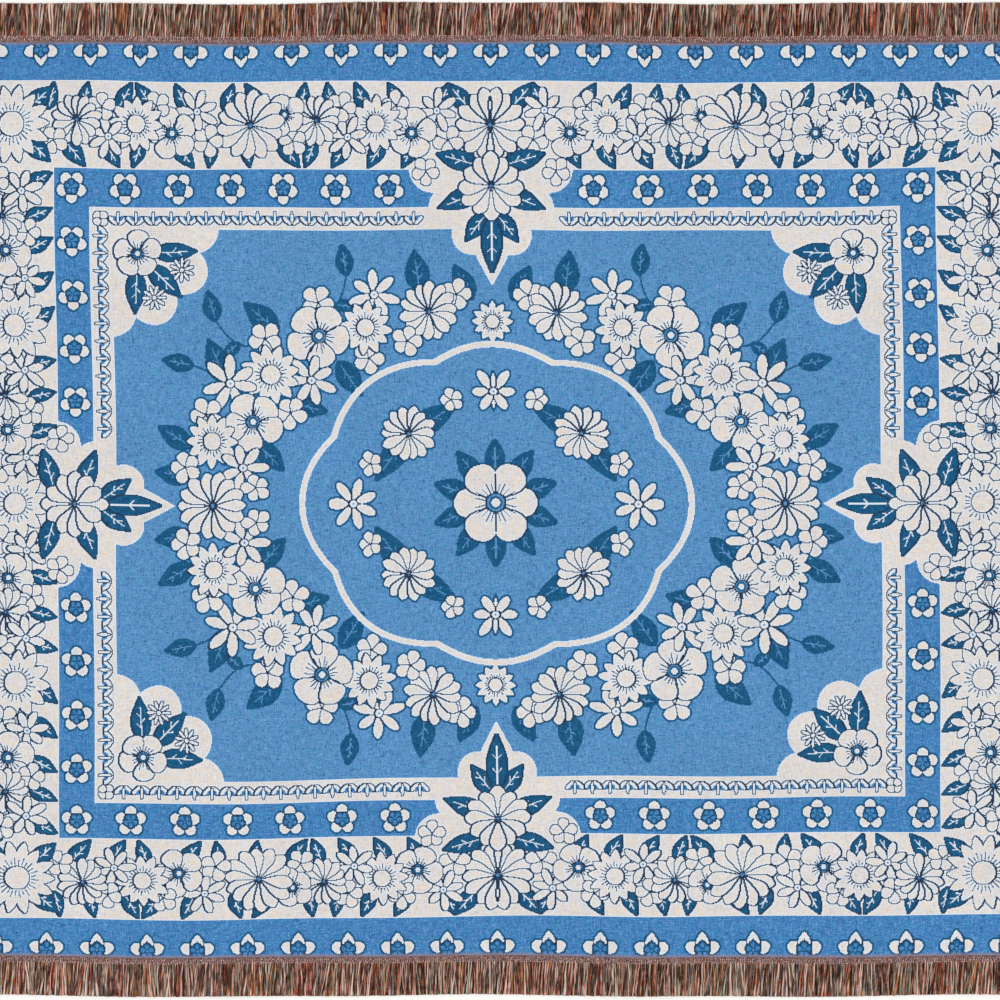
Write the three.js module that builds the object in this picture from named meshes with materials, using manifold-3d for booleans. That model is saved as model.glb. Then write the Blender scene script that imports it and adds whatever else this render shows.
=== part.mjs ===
// A woven travel blanket, laid out flat with its patterned face up.
//
// The cloth is one sheet of two-layer jacquard weave. Its two side edges are turned in a narrow hem.
// Along each long edge the warp runs out through a narrow woven heading into a cut fringe, and each
// heading with its fringe is a piece of its own.
//
// Millimetres, +Z up. X runs along the fringed edges and Y across the cloth, from one fringe to the
// other. The origin lies under the middle of the blanket, on the surface that it rests on.

import * as THREE from "three";
import { mergeVertices } from "three/addons/utils/BufferGeometryUtils.js";
import Module from "manifold-3d";

const CLOTH_WIDTH = 1600; // along X, from side edge to side edge
const CLOTH_DEPTH = 1284; // along Y, from heading to heading
const CLOTH_THICKNESS = 2.4;
const HEM_WIDTH = 12; // the side edges are turned in once
const HEM_RISE = 1.1; // what the turned layer adds on top
const HEADING_DEPTH = 9; // along Y
const HEADING_THICKNESS = 2;
const FRINGE_LENGTH = 46; // free yarn past the heading
const PIECE_GAP = 0.3; // between the cloth and each heading

const LOCKS = 140; // bundles of yarn along each fringed edge
const LOCK_WIDTH = 6.4;
const LOCK_HEIGHT = 2.2;
const LOCK_ROOT = 3; // how far a lock reaches into its heading
const LOCK_ROOT_SHARE = 0.6; // how thick a lock is at its root, against its thickest
const LOCK_TIP_SHARE = 0.85; // and at its cut tip
const LOCK_LANDING = 0.3; // where along its length a lock comes down to the surface
const LOCK_SWAY = 2.4; // how far the locks lean to one side, in slow waves along the edge
const LOCK_SWAY_TURN = 0.37; // radians of that wave from one lock to the next
const LOCK_STRAY = 1.5; // how far a lock's tip strays from its neighbours' line

const CLOTH_COLUMNS = 36; // cells of the sheet along X, between the hems
const CLOTH_ROWS = 30; // cells along Y

const YARN_COLOURS = { cloth: 0x558bbf, fringe: 0x71574d };
const YARN_ROUGHNESS = 0.95;

// Low soft ridges, where the cloth doesn't lie quite flat. Each has its middle, the way its crest
// runs, half its length and width, and its height.
const RIDGES = [
  { x: -560, y: 600, crestDeg: 82, halfLength: 260, halfWidth: 85, height: 2.6 },
  { x: -180, y: 660, crestDeg: 96, halfLength: 200, halfWidth: 80, height: 1.8 },
  { x: 330, y: 640, crestDeg: 74, halfLength: 280, halfWidth: 90, height: 2.4 },
  { x: 690, y: 330, crestDeg: 8, halfLength: 260, halfWidth: 90, height: 2.6 },
  { x: -730, y: -120, crestDeg: -6, halfLength: 280, halfWidth: 95, height: 2.4 },
  { x: -390, y: -640, crestDeg: 100, halfLength: 250, halfWidth: 85, height: 2.2 },
  { x: 210, y: -620, crestDeg: 84, halfLength: 270, halfWidth: 90, height: 2.6 },
  { x: 640, y: -560, crestDeg: 112, halfLength: 240, halfWidth: 85, height: 2.0 },
  { x: 300, y: 90, crestDeg: 38, halfLength: 300, halfWidth: 110, height: 1.6 },
  { x: -300, y: 240, crestDeg: -28, halfLength: 280, halfWidth: 105, height: 1.5 },
];

// The cloth strays a little from its drawn shape, by these slow waves: how far each moves a point
// along X or Y, its length, and how much of it runs along X and along Y.
const STRAYS = [
  { axis: "x", reach: 1.5, wave: 870, alongX: 0, alongY: 1, phase: 0.7 },
  { axis: "x", reach: 0.8, wave: 410, alongX: 1, alongY: 1, phase: 2.1 },
  { axis: "y", reach: 1.4, wave: 760, alongX: 1, alongY: 0, phase: 1.9 },
  { axis: "y", reach: 0.8, wave: 330, alongX: 1, alongY: -0.6, phase: 0.4 },
];

const HALF_WIDTH = CLOTH_WIDTH / 2;
const HALF_DEPTH = CLOTH_DEPTH / 2;
const HEM_INNER = HALF_WIDTH - HEM_WIDTH;

const wasm = await Module();
wasm.setup();

// A number from 0 to 1 that looks random but is the same for the same index and seed.
function scatter(index, seed) {
  const swing = Math.sin(index * 12.9898 + seed * 78.233) * 43758.5453;
  return swing - Math.floor(swing);
}

// How far a sine bell of that half width has risen at a distance from its middle.
function bell(distance, halfWidth) {
  const share = Math.min(Math.abs(distance) / halfWidth, 1);
  return Math.cos((share * Math.PI) / 2) ** 2;
}

// How high the underside of the cloth lies over the surface at a point.
function liftAt(x, y) {
  let lift = 0;
  for (const ridge of RIDGES) {
    const crest = THREE.MathUtils.degToRad(ridge.crestDeg);
    const along = (x - ridge.x) * Math.cos(crest) + (y - ridge.y) * Math.sin(crest);
    const across = (y - ridge.y) * Math.cos(crest) - (x - ridge.x) * Math.sin(crest);
    lift += ridge.height * bell(along, ridge.halfLength) * bell(across, ridge.halfWidth);
  }
  return lift;
}

// Where a point of the drawn, straight-sided blanket lies once the cloth has strayed.
function layPoint(x, y) {
  const laid = { x, y };
  for (const stray of STRAYS) {
    const run = (x * stray.alongX + y * stray.alongY) / stray.wave;
    laid[stray.axis] += stray.reach * Math.sin(2 * Math.PI * run + stray.phase);
  }
  return laid;
}

// Moves every vertex of a flat blank, drawn with its underside at zero, to where the cloth lies.
function layOut(geometry) {
  const position = geometry.getAttribute("position");
  for (let i = 0; i < position.count; i += 1) {
    const x = position.getX(i);
    const y = position.getY(i);
    const laid = layPoint(x, y);
    position.setXYZ(i, laid.x, laid.y, position.getZ(i) + liftAt(x, y));
  }
  return geometry;
}

// Positions of the sheet's columns: even cells between the hems, and one for each hem.
function columnEdges() {
  const edges = [-HALF_WIDTH];
  for (let i = 0; i <= CLOTH_COLUMNS; i += 1) {
    edges.push(-HEM_INNER + (2 * HEM_INNER * i) / CLOTH_COLUMNS);
  }
  edges.push(HALF_WIDTH);
  return edges;
}

// A flat blank of that thickness over the given columns and rows, with its underside at zero.
function flatBlank(columns, rows, thickness) {
  const blank = new THREE.BoxGeometry(1, 1, 1, columns.length - 1, rows.length - 1, 1);
  const position = blank.getAttribute("position");
  for (let i = 0; i < position.count; i += 1) {
    const column = Math.round((position.getX(i) + 0.5) * (columns.length - 1));
    const row = Math.round((position.getY(i) + 0.5) * (rows.length - 1));
    const top = position.getZ(i) > 0 ? thickness : 0;
    position.setXYZ(i, columns[column], rows[row], top);
  }
  return blank;
}

// The woven sheet, thicker along its two turned side edges.
function clothGeometry() {
  const rows = Array.from(
    { length: CLOTH_ROWS + 1 },
    (_, i) => -HALF_DEPTH + (CLOTH_DEPTH * i) / CLOTH_ROWS,
  );
  const sheet = flatBlank(columnEdges(), rows, CLOTH_THICKNESS);
  const position = sheet.getAttribute("position");
  for (let i = 0; i < position.count; i += 1) {
    const onHem = Math.abs(position.getX(i)) > HEM_INNER + 1;
    if (onHem && position.getZ(i) > 0) position.setZ(i, CLOTH_THICKNESS + HEM_RISE);
  }
  return layOut(sheet);
}

// One lock of fringe: a three-sided bundle that leaves the heading, comes down and lies level on
// the surface. side is 1 for the far edge and -1 for the near one.
function lockGeometry(index, side) {
  const pitch = CLOTH_WIDTH / LOCKS;
  const drawnX = -HALF_WIDTH + pitch * (index + 0.5);
  const headingEdge = HALF_DEPTH + PIECE_GAP + HEADING_DEPTH;
  const sway = LOCK_SWAY * Math.sin(index * LOCK_SWAY_TURN + side);
  const lean = sway + LOCK_STRAY * (scatter(index, side + 3) - 0.5);
  const length = FRINGE_LENGTH + LOCK_STRAY * (scatter(index, side + 5) - 0.5);
  const lift = liftAt(drawnX, side * headingEdge);
  const rootBase = lift + (HEADING_THICKNESS - LOCK_HEIGHT * LOCK_ROOT_SHARE) / 2;
  const stations = [
    { out: -LOCK_ROOT, lean: 0, width: LOCK_ROOT_SHARE, base: rootBase, height: LOCK_ROOT_SHARE },
    { out: length * LOCK_LANDING, lean: LOCK_LANDING, width: 1, base: 0, height: 1 },
    { out: length, lean: 1, width: LOCK_TIP_SHARE, base: 0, height: LOCK_TIP_SHARE },
  ];
  const lock = new THREE.CylinderGeometry(1, 1, 1, 3, stations.length - 1);
  const position = lock.getAttribute("position");
  const root = layPoint(drawnX, side * headingEdge);
  for (let i = 0; i < position.count; i += 1) {
    const step = Math.round((position.getY(i) + 0.5) * (stations.length - 1));
    const station = stations[side > 0 ? step : stations.length - 1 - step];
    const across = position.getX(i) / Math.sqrt(3); // from -0.5 to 0.5
    const up = (position.getZ(i) + 0.5) / 1.5; // 0 on the flat underside and 1 at the crest
    const x = root.x + lean * station.lean + across * LOCK_WIDTH * station.width;
    const z = station.base + up * LOCK_HEIGHT * station.height;
    position.setXYZ(i, x, root.y + side * station.out, z);
  }
  return lock;
}

// A closed mesh as a solid that can be joined to others.
function solidOf(geometry) {
  const bare = geometry.index ? geometry.toNonIndexed() : geometry.clone();
  bare.deleteAttribute("normal");
  bare.deleteAttribute("uv");
  const merged = mergeVertices(bare, 1e-4);
  return new wasm.Manifold(
    new wasm.Mesh({
      numProp: 3,
      vertProperties: new Float32Array(merged.getAttribute("position").array),
      triVerts: new Uint32Array(merged.index.array),
    }),
  );
}

// A solid's surface as a three.js geometry.
function geometryOf(solid) {
  const mesh = solid.getMesh();
  const geometry = new THREE.BufferGeometry();
  geometry.setAttribute("position", new THREE.BufferAttribute(mesh.vertProperties, mesh.numProp));
  geometry.setIndex(new THREE.BufferAttribute(mesh.triVerts, 1));
  geometry.computeVertexNormals();
  return geometry;
}

// The narrow heading along one long edge, with its locks of fringe fused into it.
function fringeGeometry(side) {
  const near = HALF_DEPTH + PIECE_GAP;
  const rows = [side * near, side * (near + HEADING_DEPTH)].sort((a, b) => a - b);
  let fringe = solidOf(layOut(flatBlank(columnEdges(), rows, HEADING_THICKNESS)));
  for (let index = 0; index < LOCKS; index += 1) {
    fringe = fringe.add(solidOf(lockGeometry(index, side)));
  }
  return geometryOf(fringe);
}

function yarnMaterial(colour) {
  return new THREE.MeshStandardMaterial({ color: colour, roughness: YARN_ROUGHNESS, metalness: 0 });
}

function pieceOf(name, geometry, material) {
  const piece = new THREE.Mesh(geometry, material);
  piece.name = name;
  return piece;
}

const fringeYarn = yarnMaterial(YARN_COLOURS.fringe);
const blanket = new THREE.Group();
blanket.add(
  pieceOf("cloth", clothGeometry(), yarnMaterial(YARN_COLOURS.cloth)),
  pieceOf("fringe_far", fringeGeometry(1), fringeYarn),
  pieceOf("fringe_near", fringeGeometry(-1), fringeYarn),
);

// The strays push the blanket a little off the middle, so it is moved back over the origin.
const middle = new THREE.Box3().setFromObject(blanket, true).getCenter(new THREE.Vector3());
blanket.position.set(-middle.x, -middle.y, 0);

export default blanket;
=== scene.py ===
"""A woven travel blanket, laid flat with its patterned face up and seen from straight above.

The cloth is two-layer jacquard: blue and ivory layers change places as the weaver's chart says, and
teal and navy picks draw the leaves and the outlines. Its warp of many muted colours runs out through
a stitched heading at each long edge and is cut there as a fringe.
"""

import math

import bpy
import numpy as np
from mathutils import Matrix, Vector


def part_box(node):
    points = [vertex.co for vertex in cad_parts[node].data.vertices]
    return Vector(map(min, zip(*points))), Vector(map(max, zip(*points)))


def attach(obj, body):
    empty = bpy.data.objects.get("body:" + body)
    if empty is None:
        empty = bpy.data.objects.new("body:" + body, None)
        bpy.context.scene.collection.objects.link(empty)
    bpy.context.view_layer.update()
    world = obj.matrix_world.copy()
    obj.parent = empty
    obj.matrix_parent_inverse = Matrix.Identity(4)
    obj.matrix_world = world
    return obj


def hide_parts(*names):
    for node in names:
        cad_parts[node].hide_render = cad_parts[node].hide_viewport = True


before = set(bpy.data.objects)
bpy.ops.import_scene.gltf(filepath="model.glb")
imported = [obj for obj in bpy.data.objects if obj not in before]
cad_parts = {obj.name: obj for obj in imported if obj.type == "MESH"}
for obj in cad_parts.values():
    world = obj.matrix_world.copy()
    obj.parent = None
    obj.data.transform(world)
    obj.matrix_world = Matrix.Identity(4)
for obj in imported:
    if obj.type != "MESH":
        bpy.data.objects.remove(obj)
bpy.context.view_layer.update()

MM = 0.001

# The cloth, in millimetres from its middle.
HALF_WIDTH = 800.0
HALF_DEPTH = 642.0
CLOTH_THICKNESS = 2.4
HEM_WIDTH = 12.0
HEM_RISE = 1.1
HEM_LINE_X = HALF_WIDTH - HEM_WIDTH + 2  # of the side hem's stitches, where the pattern ends
HEADING_DEPTH = 9.0
HEADING_THICKNESS = 2.0
PIECE_GAP = 0.3
FRINGE_LENGTH = 46.0

# Half sizes of the bands, from the field outwards.
FIELD_X, FIELD_Y = 538.0, 385.7
CHAIN_X, CHAIN_Y = 569.4, 418.6
GUARD_X, GUARD_Y = 619.0, 469.9
BORDER_X, BORDER_Y = 739.0, 589.3

# The chart counts the cloth in cells of one pick each. The mesh holds a block of cells in each face.
BLOCK_CELLS = 6
HALF_COLUMNS = 600
HALF_ROWS = 480
CELL_X = HALF_WIDTH / HALF_COLUMNS
CELL_Y = HALF_DEPTH / HALF_ROWS
OVERDRAW = 90  # cells charted past each mirror line, so that a motif can lie across it
BLUE, IVORY, LEAF, LINE = range(4)  # which yarn shows in a cell
YARN_BITS = 2
RIM_BITS = 1
DRAWN_LINE = 1.5  # width of a charted line
STEM = 2.9  # width of a charted stem
BOLD_REACH = 32  # shapes that reach farther than this are outlined more boldly

# Low soft ridges, where the cloth doesn't lie quite flat, as in the solid.
RIDGES = (
    # x, y, crest in degrees, half length, half width, height
    (-560, 600, 82, 260, 85, 2.6),
    (-180, 660, 96, 200, 80, 1.8),
    (330, 640, 74, 280, 90, 2.4),
    (690, 330, 8, 260, 90, 2.6),
    (-730, -120, -6, 280, 95, 2.4),
    (-390, -640, 100, 250, 85, 2.2),
    (210, -620, 84, 270, 90, 2.6),
    (640, -560, 112, 240, 85, 2.0),
    (300, 90, 38, 300, 110, 1.6),
    (-300, 240, -28, 280, 105, 1.5),
)

# Slow waves by which the cloth strays from its drawn shape, as in the solid.
STRAYS = (
    # along X or Y, reach, wave length, how much of it runs along X and along Y, phase
    ("x", 1.5, 870, 0, 1, 0.7),
    ("x", 0.8, 410, 1, 1, 2.1),
    ("y", 1.4, 760, 1, 0, 1.9),
    ("y", 0.8, 330, 1, -0.6, 0.4),
)


# The chart: shapes

def turned(across, up, angle):
    """Coordinates along and beside a direction that points angle from +X."""
    along = across * math.cos(angle) + up * math.sin(angle)
    beside = up * math.cos(angle) - across * math.sin(angle)
    return along, beside


def beyond(x, y, angle, distance):
    """The point at that distance from x, y, in a direction that points angle from +X."""
    return x + distance * math.cos(angle), y + distance * math.sin(angle)


def petal(angle, start, end, width, swell, blunt):
    """A petal or leaf: widest past its middle if swell is over 1, and rounder the lower blunt is."""

    def inside(across, up):
        along, beside = turned(across, up, angle)
        share = np.clip((along - start) / (end - start), 0, 1)
        half = width / 2 * np.sin(math.pi * share**swell) ** blunt
        return (share > 0) & (share < 1) & (np.abs(beside) < half)

    return inside


def stroke(angle, start, end, bend=0.0, width=DRAWN_LINE):
    """A drawn line, straight or gently bent."""

    def inside(across, up):
        along, beside = turned(across, up, angle)
        share = np.clip((along - start) / (end - start), 0, 1)
        near = np.abs(beside - bend * np.sin(math.pi * share)) < width / 2
        return (share > 0) & (share < 1) & near

    return inside


def disc(radius):
    return lambda across, up: across**2 + up**2 < radius**2


def scalloped(radius, lobes, depth, turn=0.0):
    """A round form with that many lobes round its edge."""

    def inside(across, up):
        angle = np.arctan2(up, across) - turn
        edge = radius * (1 - depth + depth * np.abs(np.cos(lobes / 2 * angle)) ** 0.7)
        return np.hypot(across, up) < edge

    return inside


def together(shapes):
    def inside(across, up):
        return np.any([shape(across, up) for shape in shapes], axis=0)

    return inside


def grown(mask, corners=True):
    """The mask with one more cell all round, or on its four sides only."""
    tall = mask.copy()
    tall[1:, :] |= mask[:-1, :]
    tall[:-1, :] |= mask[1:, :]
    source = tall if corners else mask
    wide = tall.copy()
    wide[:, 1:] |= source[:, :-1]
    wide[:, :-1] |= source[:, 1:]
    return wide


class Chart:
    """The weaver's chart of one quarter of the cloth. x and y are millimetres from its middle."""

    def __init__(self):
        self.cells = np.full((HALF_ROWS + OVERDRAW, HALF_COLUMNS + OVERDRAW), BLUE, np.uint8)
        rows, columns = self.cells.shape
        self.xs = (np.arange(columns) - OVERDRAW + 0.5) * CELL_X
        self.ys = (np.arange(rows) - OVERDRAW + 0.5) * CELL_Y

    def fill(self, x, y, reach, inside, yarn, outline=None):
        """Charts the shape in that yarn, round x, y and within reach, with a line round it.

        On a blue ground the line is two cells wide and in leaf yarn. Elsewhere it is one cell wide, and
        two on one side of a large shape.
        """
        left, right = np.searchsorted(self.xs, (x - reach, x + reach))
        low, high = np.searchsorted(self.ys, (y - reach, y + reach))
        if right - left < 2 or high - low < 2:
            return
        part = self.cells[low:high, left:right]
        mask = inside(*np.meshgrid(self.xs[left:right] - x, self.ys[low:high] - y))
        if outline is not None:
            edge = grown(mask)
            on_blue = part == BLUE
            if reach > BOLD_REACH:
                edge[:, 1:] |= edge[:, :-1] & ~on_blue[:, 1:]
            part[edge & ~on_blue] = outline
            part[grown(edge, corners=False) & on_blue] = LEAF
        part[mask] = yarn


# The chart: motifs

def petal_angles(rng, count, turn, spread):
    return turn + np.arange(count) * 2 * math.pi / count + rng.uniform(-spread, spread, count)


def petal_ring(chart, x, y, radius, turn, seed, petals, spread, ends, form):
    """Outlined petals round x, y. form is their start, the share of the ring they fill, and their shape."""
    rng = np.random.default_rng(seed)
    start, filled, swell, blunt = form
    width = 2 * math.pi * radius * filled / petals
    for angle in petal_angles(rng, petals, turn, spread):
        shape = petal(angle, radius * start, radius * rng.uniform(*ends), width, swell, blunt)
        chart.fill(x, y, radius * 1.2, shape, IVORY, LINE)


def daisy(chart, x, y, radius, turn=0.0, seed=1, petals=14):
    """Many long round-ended petals that touch, round a very small eye."""
    petal_ring(chart, x, y, radius, turn, seed, petals, 0.05, (0.9, 1.03), (0.06, 0.83, 1.9, 0.62))
    chart.fill(x, y, radius, disc(radius * 0.09), LINE)
    chart.fill(x, y, radius, disc(radius * 0.05), BLUE)


def sunflower(chart, x, y, radius, turn=0.0, seed=1, petals=12):
    """Pointed petals that run together, with short rays round a large pale eye."""
    rng = np.random.default_rng(seed)
    width = 2 * math.pi * radius * 0.65 / petals
    shapes = [disc(radius * 0.66)]
    for angle in petal_angles(rng, petals, turn, 0.03):
        shapes.append(petal(angle, radius * 0.25, radius * rng.uniform(0.94, 1.04), width, 1.05, 0.75))
    chart.fill(x, y, radius * 1.2, together(shapes), IVORY, LINE)
    for index in range(petals * 2):
        angle = turn + (index + 0.5) * math.pi / petals
        far = radius * (0.58 if index % 2 else 0.5)
        chart.fill(x, y, radius, stroke(angle, radius * 0.36, far), LINE)
    chart.fill(x, y, radius, disc(radius * 0.31), IVORY, LINE)


def blossom(chart, x, y, radius, turn=0.0, seed=1, petals=5):
    """A few broad petals round a ringed eye, with stamens drawn over them."""
    rng = np.random.default_rng(seed)
    width = 2 * math.pi * radius * 0.7 / petals
    for angle in petal_angles(rng, petals, turn, 0.07):
        end = radius * rng.uniform(0.93, 1.05)
        shape = petal(angle, radius * 0.16, end, width * rng.uniform(0.92, 1.05), 1.5, 0.52)
        chart.fill(x, y, radius * 1.2, shape, IVORY, LINE)
    for angle in petal_angles(rng, petals * 4, turn, 0.06):
        chart.fill(x, y, radius, stroke(angle, radius * 0.2, radius * rng.uniform(0.4, 0.58)), LINE)
    chart.fill(x, y, radius, disc(radius * 0.2), BLUE, LINE)
    chart.fill(x, y, radius, disc(radius * 0.1), IVORY, LINE)


def star_flower(chart, x, y, radius, turn=0.0, seed=1, petals=7):
    """Narrow petals that stand apart, round a small ring."""
    petal_ring(chart, x, y, radius, turn, seed, petals, 0.08, (0.86, 1.06), (0, 0.39, 1.5, 0.5))
    chart.fill(x, y, radius, disc(radius * 0.14), IVORY, LINE)
    chart.fill(x, y, radius, disc(radius * 0.05), BLUE)


def small_flower(chart, x, y, radius, turn=0.0, seed=1, petals=5):
    """A few round petals that meet in a point."""
    petal_ring(chart, x, y, radius, turn, seed, petals, 0.06, (0.9, 1.06), (0.08, 0.59, 1.6, 0.5))
    chart.fill(x, y, radius, disc(radius * 0.1), LINE)


def petalled_eye(chart, x, y, radius, turn):
    """A dark eye with five small blue petals in it."""
    chart.fill(x, y, radius * 2, scalloped(radius, 5, 0.2, turn), LEAF, LINE)
    for index in range(5):
        angle = turn + index * 2 * math.pi / 5
        shape = petal(angle, radius * 0.24, radius * 0.88, radius * 0.52, 1.4, 0.5)
        chart.fill(x, y, radius * 2, shape, BLUE)
    chart.fill(x, y, radius, disc(radius * 0.16), BLUE)


def rosette(chart, x, y):
    """Five round petals round a dark blue eye."""
    for angle in ROSETTE_ANGLES:
        middle = beyond(x, y, angle, ROSETTE_RADIUS * 0.66)
        chart.fill(*middle, ROSETTE_RADIUS, disc(ROSETTE_RADIUS * 0.37), IVORY, LINE)
    petalled_eye(chart, x, y, ROSETTE_RADIUS * 0.5, ROSETTE_ANGLES[0] + math.pi / 5)


def asterisk(chart, x, y, radius, turn):
    """Ten thin outlined rays round a small eye."""
    for index in range(10):
        angle = turn + index * 2 * math.pi / 10
        shape = petal(angle, radius * 0.2, radius, radius * 0.2, 1.2, 0.3)
        chart.fill(x, y, radius * 1.3, shape, IVORY, LINE)
    chart.fill(x, y, radius, disc(radius * 0.16), IVORY, LINE)


def leaf(chart, x, y, length, width, angle, vein):
    """A pointed leaf from its stem at x, y, with a light midrib and side veins."""
    chart.fill(x, y, length * 1.15, petal(angle, 0, length, width, 0.8, 1.05), LEAF, LINE)
    chart.fill(x, y, length, stroke(angle, length * 0.1, length * 0.78), vein)
    for share, side in ((0.3, 1), (0.42, -1), (0.55, 1)):
        root = beyond(x, y, angle, length * share)
        chart.fill(*root, length, stroke(angle + side * 0.75, 0, width * 0.34), vein)


FLOWERS = {
    "daisy": daisy,
    "sunflower": sunflower,
    "blossom": blossom,
    "star": star_flower,
    "small": small_flower,
}


# The chart: bands

TREFOIL_PITCH = 71.0
GUARD_PITCH = 75.0
CHAIN_PITCH = 24.7
TREFOILS_ALONG, TREFOILS_UP = 11, 9  # charted from each middle of the cloth
ROSETTES_ALONG, ROSETTES_UP = 7, 5  # charted from each corner of the guard band
LINKS_ALONG, LINKS_UP = 18, 12
TREFOIL_REACH = 45
LINK_REACH = 30
ROSETTE_RADIUS = 20.5
ROSETTE_ANGLES = [-math.pi / 2 + index * 2 * math.pi / 5 for index in range(5)]
GUARD_MIDDLE_X = (CHAIN_X + GUARD_X) / 2
GUARD_MIDDLE_Y = (CHAIN_Y + GUARD_Y) / 2
CHAIN_MIDDLE_X = (FIELD_X + CHAIN_X) / 2
CHAIN_MIDDLE_Y = (FIELD_Y + CHAIN_Y) / 2
BORDER_MIDDLE_X = (GUARD_X + BORDER_X) / 2
BORDER_MIDDLE_Y = (GUARD_Y + BORDER_Y) / 2


def chart_bands(chart):
    across, up = np.meshgrid(chart.xs, chart.ys)
    bands = (
        (BORDER_X, BORDER_Y, IVORY),
        (GUARD_X, GUARD_Y, BLUE),
        (CHAIN_X, CHAIN_Y, IVORY),
        (FIELD_X, FIELD_Y, BLUE),
    )
    for half_x, half_y, yarn in bands:
        chart.cells[(across < half_x) & (up < half_y)] = yarn


def trefoil(chart, x, y, inward):
    """Two round petals and a pointed one, flush with the cloth's edge. inward points from it."""
    eye = beyond(x, y, inward, 9)
    for side in (-1, 1):
        shape = petal(inward + side * 1.33, 3, 24, 16, 1.15, 0.55)
        chart.fill(*eye, TREFOIL_REACH, shape, IVORY, LINE)
    chart.fill(x, y, TREFOIL_REACH, petal(inward, 8, 32, 18, 0.72, 0.7), IVORY, LINE)
    chart.fill(x, y, TREFOIL_REACH, petal(inward, 14, 24, 5, 0.8, 1.0), LINE)
    petalled_eye(chart, *eye, 10.8, inward)


def chart_outer_band(chart):
    for index in range(TREFOILS_ALONG):
        trefoil(chart, index * TREFOIL_PITCH, HALF_DEPTH, -math.pi / 2)
    for index in range(TREFOILS_UP):
        trefoil(chart, HEM_LINE_X, index * TREFOIL_PITCH, math.pi)


def chart_guard(chart):
    for index in range(ROSETTES_ALONG):
        rosette(chart, GUARD_MIDDLE_X - index * GUARD_PITCH, GUARD_MIDDLE_Y)
    for index in range(1, ROSETTES_UP):
        rosette(chart, GUARD_MIDDLE_X, GUARD_MIDDLE_Y - index * GUARD_PITCH)


def chain_link(chart, x, y, inward):
    """One sprig of the chain: an upright petal and two that lean, with blue between them."""
    outward = inward + math.pi
    root = beyond(x, y, inward, 10)
    for side in (-1, 1):
        shape = petal(outward + side * 0.78, 1, 17.5, 5.6, 1.2, 0.4)
        chart.fill(*root, BOLD_REACH + 1, shape, IVORY, LINE)
        shape = petal(outward + side * 0.42, 7, 16, 5.0, 1.0, 0.5)
        chart.fill(*root, LINK_REACH, shape, BLUE)
    chart.fill(*root, LINK_REACH, petal(outward, 3, 20, 3.2, 1.0, 0.4), IVORY, LINE)


def chart_chain(chart):
    for index in range(1, LINKS_ALONG + 1):
        chain_link(chart, CHAIN_MIDDLE_X - index * CHAIN_PITCH, CHAIN_MIDDLE_Y, -math.pi / 2)
    for index in range(1, LINKS_UP + 1):
        chain_link(chart, CHAIN_MIDDLE_X, CHAIN_MIDDLE_Y - index * CHAIN_PITCH, math.pi)
    small_flower(chart, CHAIN_MIDDLE_X, CHAIN_MIDDLE_Y, 12, math.pi / 4, 3, 4)


# The chart: the garland in the main border

FAR_RUN = (
    # flower, along the band, out from its middle, radius
    ("daisy", 0, 0, 50),
    ("small", 61, -20, 22),
    ("star", 76, 20, 30),
    ("blossom", 112, -10, 35),
    ("small", 134, 27, 20),
    ("sunflower", 163, 2, 38),
    ("star", 203, -16, 30),
    ("small", 212, 24, 21),
    ("daisy", 247, 6, 35),
    ("small", 280, -22, 20),
    ("blossom", 292, 14, 29),
)
SIDE_RUN = (
    ("sunflower", 0, 0, 48),
    ("small", 52, 18, 21),
    ("star", 66, -16, 29),
    ("blossom", 104, 10, 35),
    ("small", 130, -22, 19),
    ("daisy", 152, 14, 34),
    ("star", 188, -14, 31),
    ("small", 203, 22, 20),
)
FAR_REPEAT, FAR_LENGTH = 340, 630
SIDE_REPEAT, SIDE_LENGTH = 250, 480
LEAF_STEP = 50  # between the leaves on each side of the garland
LEAF_ROOT, LEAF_TIP = 20, 58  # how far out from the band's middle a leaf starts and ends


def garland_flowers(run, repeat, length):
    """Every flower of a run that repeats along that length, each with its own seed."""
    flowers = []
    for start in range(0, math.ceil(length), repeat):
        for flower, along, out, radius in run:
            if start + along < length:
                flowers.append((flower, start + along, out, radius, len(flowers) + 11))
    return flowers


def chart_garland(chart, run, repeat, length, point):
    """Leaves first, then flowers over them. point gives the place along the band and out from it."""
    rng = np.random.default_rng(repeat)
    for step in range(int(length / LEAF_STEP) + 1):
        for side in (-1, 1):
            along = (step + 0.25 + 0.25 * side) * LEAF_STEP + rng.uniform(-7, 7)
            x, y = point(along, side * LEAF_ROOT)
            tip_x, tip_y = point(along + rng.uniform(6, 34) * rng.choice((-1, 1)), side * LEAF_TIP)
            reach = math.hypot(tip_x - x, tip_y - y)
            leaf(chart, x, y, reach, reach * 0.46, math.atan2(tip_y - y, tip_x - x), IVORY)
    for flower, along, out, radius, seed in garland_flowers(run, repeat, length):
        x, y = point(along, out)
        FLOWERS[flower](chart, x, y, radius, 0.3 + seed, seed)


def chart_border(chart):
    def far_point(along, out):
        return along, BORDER_MIDDLE_Y + out

    def side_point(along, out):
        return BORDER_MIDDLE_X + out, along

    chart_garland(chart, FAR_RUN, FAR_REPEAT, FAR_LENGTH, far_point)
    chart_garland(chart, SIDE_RUN, SIDE_REPEAT, SIDE_LENGTH, side_point)
    for angle in (0.78, 2.4, 3.9, -0.85):
        leaf(chart, *beyond(BORDER_MIDDLE_X, BORDER_MIDDLE_Y, angle, 30), 46, 24, angle, IVORY)
    sunflower(chart, BORDER_MIDDLE_X, BORDER_MIDDLE_Y, 54, 0, 5, 14)


# The chart: pendants from the border, and corner pieces

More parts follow.
